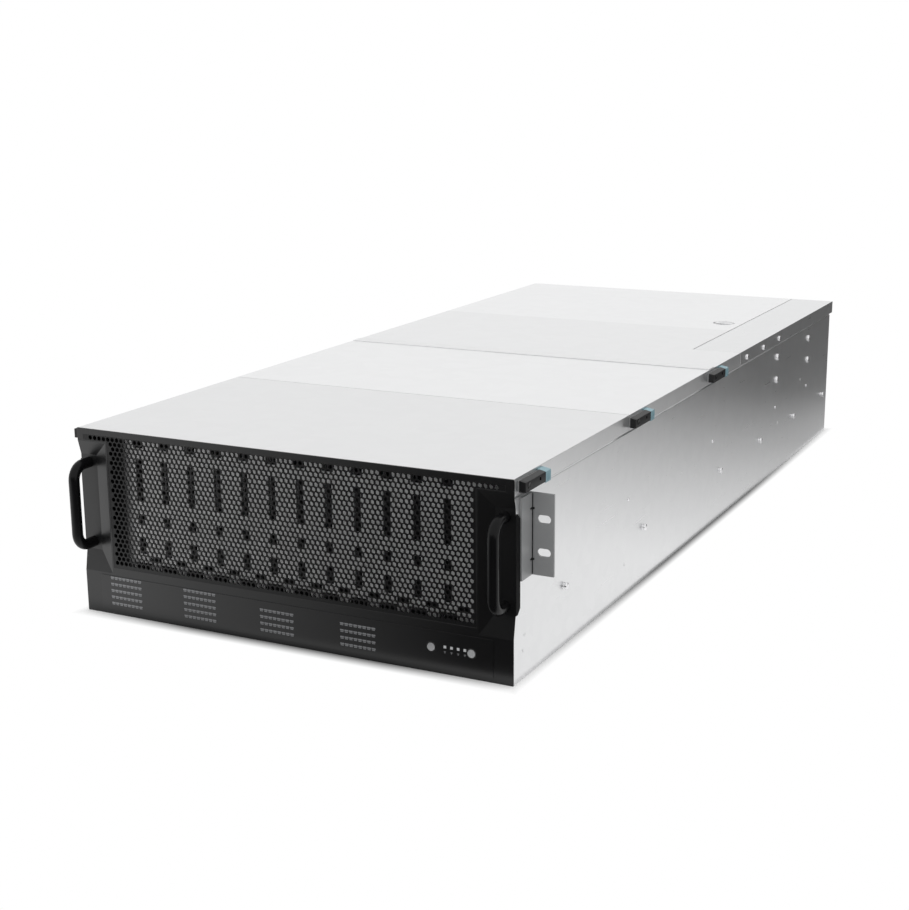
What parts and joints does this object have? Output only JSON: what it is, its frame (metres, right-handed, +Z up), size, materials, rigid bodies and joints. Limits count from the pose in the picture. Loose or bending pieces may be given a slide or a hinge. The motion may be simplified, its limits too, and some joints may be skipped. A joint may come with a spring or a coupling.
{
  "type": "storage server",
  "caption": "Low, deep rack storage server with a honeycomb-mesh front, bar handles, rack ears and lift-off covers over upright drives.",
  "frame": {"origin": "middle of the overall box, on the plane that the base pan rests on", "axes": "+Y from the front bezel to the rear panel, +X to the right seen from the front, +Z up"},
  "size_m": [0.4826, 1.068, 0.176],
  "materials": {
    "cover_steel": "zinc-plated sheet, satin",
    "zinc_steel": "zinc-plated sheet, faint grain",
    "bezel_black": "semi-gloss charcoal",
    "grille_black": "semi-gloss charcoal",
    "film_black": "smooth dark film",
    "window_grey": "translucent grey",
    "light_pale": "clear pale",
    "button_grey": "satin grey",
    "handle_black": "gloss black",
    "ear_steel": "grey satin",
    "bright_fastener": "bright plated",
    "circuit_board": "green solder mask",
    "drive_case": "cast, satin",
    "carrier_plastic": "dark moulding",
    "fan_plastic": "black moulding",
    "sink_aluminium": "extruded",
    "port_shell": "formed bright shell",
    "supply_case": "plain sheet",
    "latch_black": "fine-grained moulding",
    "tab_blue": "pale blue-green moulding",
    "release_green": "dark green moulding"
  },
  "bodies": {
    "chassis": {"base_pan": "zinc_steel", "left_side_wall": "zinc_steel", "right_side_wall": "zinc_steel", "rear_panel": "zinc_steel", "front_bezel": "bezel_black", "front_grille": "grille_black", "cage_front_wall": "zinc_steel", "status_overlay": "film_black", "status_windows": "window_grey", "indicator_lights": "light_pale", "front_board": "circuit_board", "handle_left": "handle_black", "handle_right": "handle_black", "ear_left": "ear_steel", "ear_right": "ear_steel", "rail_studs": "bright_fastener", "panel_screws": "bright_fastener", "cross_beams": "zinc_steel", "drive_guides": "zinc_steel", "drives_front": "drive_case", "drives_rear": "drive_case", "carriers_front": "carrier_plastic", "carriers_rear": "carrier_plastic", "drive_backplane": "circuit_board", "board_standoffs": "bright_fastener", "fan_wall": "zinc_steel", "fan_frames": "fan_plastic", "motherboard": "circuit_board", "processor_heatsinks": "sink_aluminium", "memory_modules": "circuit_board", "expansion_cards": "circuit_board", "rear_ports": "port_shell", "psu_cage": "zinc_steel", "power_board": "circuit_board"},
    "front_cover": {"front_cover": "cover_steel"},
    "middle_cover": {"middle_cover": "cover_steel"},
    "rear_cover": {"rear_cover": "cover_steel"},
    "front_latch_left": {"front_lever_left": "latch_black", "front_tab_left": "tab_blue"},
    "front_latch_right": {"front_lever_right": "latch_black", "front_tab_right": "tab_blue"},
    "middle_latch_left": {"middle_lever_left": "latch_black", "middle_tab_left": "tab_blue"},
    "middle_latch_right": {"middle_lever_right": "latch_black", "middle_tab_right": "tab_blue"},
    "rear_latch_left": {"rear_lever_left": "latch_black", "rear_tab_left": "tab_blue"},
    "rear_latch_right": {"rear_lever_right": "latch_black", "rear_tab_right": "tab_blue"},
    "rear_lock": {"rear_cover_lock": "bright_fastener"},
    "power_button": {"power_button": "button_grey"},
    "locate_button": {"locate_button": "button_grey"},
    "fan_rotor_1": {"fan_rotor_1": "fan_plastic"},
    "fan_rotor_2": {"fan_rotor_2": "fan_plastic"},
    "fan_rotor_3": {"fan_rotor_3": "fan_plastic"},
    "power_supply_lower": {"power_supply_lower": "supply_case"},
    "psu_release_lower": {"psu_release_lower": "release_green"},
    "power_supply_upper": {"power_supply_upper": "supply_case"},
    "psu_release_upper": {"psu_release_upper": "release_green"}
  },
  "joints": [
    {"name": "front_cover_lift", "type": "slide", "parent": "chassis", "child": "front_cover", "axis": [0, 0, 1], "range_m": [0, 0.2]},
    {"name": "middle_cover_lift", "type": "slide", "parent": "chassis", "child": "middle_cover", "axis": [0, 0, 1], "range_m": [0, 0.2]},
    {"name": "rear_cover_lift", "type": "slide", "parent": "chassis", "child": "rear_cover", "axis": [0, 0, 1], "range_m": [0, 0.2]},
    {"name": "front_latch_left_turn", "type": "hinge", "parent": "front_cover", "child": "front_latch_left", "pos_m": [-0.2243, -0.4972, 0.1695], "axis": [1, 0, 0], "range_deg": [0, 90]},
    {"name": "front_latch_right_turn", "type": "hinge", "parent": "front_cover", "child": "front_latch_right", "pos_m": [0.2243, -0.4972, 0.1695], "axis": [1, 0, 0], "range_deg": [0, 90]},
    {"name": "middle_latch_left_turn", "type": "hinge", "parent": "middle_cover", "child": "middle_latch_left", "pos_m": [-0.2243, -0.2475, 0.1695], "axis": [1, 0, 0], "range_deg": [0, 90]},
    {"name": "middle_latch_right_turn", "type": "hinge", "parent": "middle_cover", "child": "middle_latch_right", "pos_m": [0.2243, -0.2475, 0.1695], "axis": [1, 0, 0], "range_deg": [0, 90]},
    {"name": "rear_latch_left_turn", "type": "hinge", "parent": "middle_cover", "child": "rear_latch_left", "pos_m": [-0.2243, -0.013, 0.1695], "axis": [1, 0, 0], "range_deg": [0, 90]},
    {"name": "rear_latch_right_turn", "type": "hinge", "parent": "middle_cover", "child": "rear_latch_right", "pos_m": [0.2243, -0.013, 0.1695], "axis": [1, 0, 0], "range_deg": [0, 90]},
    {"name": "rear_lock_turn", "type": "hinge", "parent": "rear_cover", "child": "rear_lock", "pos_m": [0.141, 0.291, 0.172], "axis": [0, 0, 1], "range_deg": [0, 90]},
    {"name": "power_button_push", "type": "slide", "parent": "chassis", "child": "power_button", "axis": [0, 1, 0], "range_m": [0, 0.0015], "stiffness_N_per_m": 600},
    {"name": "locate_button_push", "type": "slide", "parent": "chassis", "child": "locate_button", "axis": [0, 1, 0], "range_m": [0, 0.0015], "stiffness_N_per_m": 600},
    {"name": "fan_spin_1", "type": "hinge", "parent": "chassis", "child": "fan_rotor_1", "pos_m": [-0.13, 0.051, 0.088], "axis": [0, 1, 0], "continuous": true},
    {"name": "fan_spin_2", "type": "hinge", "parent": "chassis", "child": "fan_rotor_2", "pos_m": [0, 0.051, 0.088], "axis": [0, 1, 0], "continuous": true},
    {"name": "fan_spin_3", "type": "hinge", "parent": "chassis", "child": "fan_rotor_3", "pos_m": [0.13, 0.051, 0.088], "axis": [0, 1, 0], "continuous": true},
    {"name": "power_supply_lower_draw", "type": "slide", "parent": "chassis", "child": "power_supply_lower", "axis": [0, 1, 0], "range_m": [0, 0.28]},
    {"name": "psu_release_lower_press", "type": "hinge", "parent": "power_supply_lower", "child": "psu_release_lower", "pos_m": [0.2105, 0.5118, 0.0443], "axis": [0, 0, 1], "range_deg": [0, 10], "stiffness_Nm_per_rad": 0.05},
    {"name": "power_supply_upper_draw", "type": "slide", "parent": "chassis", "child": "power_supply_upper", "axis": [0, 1, 0], "range_m": [0, 0.28]},
    {"name": "psu_release_upper_press", "type": "hinge", "parent": "power_supply_upper", "child": "psu_release_upper", "pos_m": [0.2105, 0.5118, 0.1196], "axis": [0, 0, 1], "range_deg": [0, 10], "stiffness_Nm_per_rad": 0.05}
  ]
}
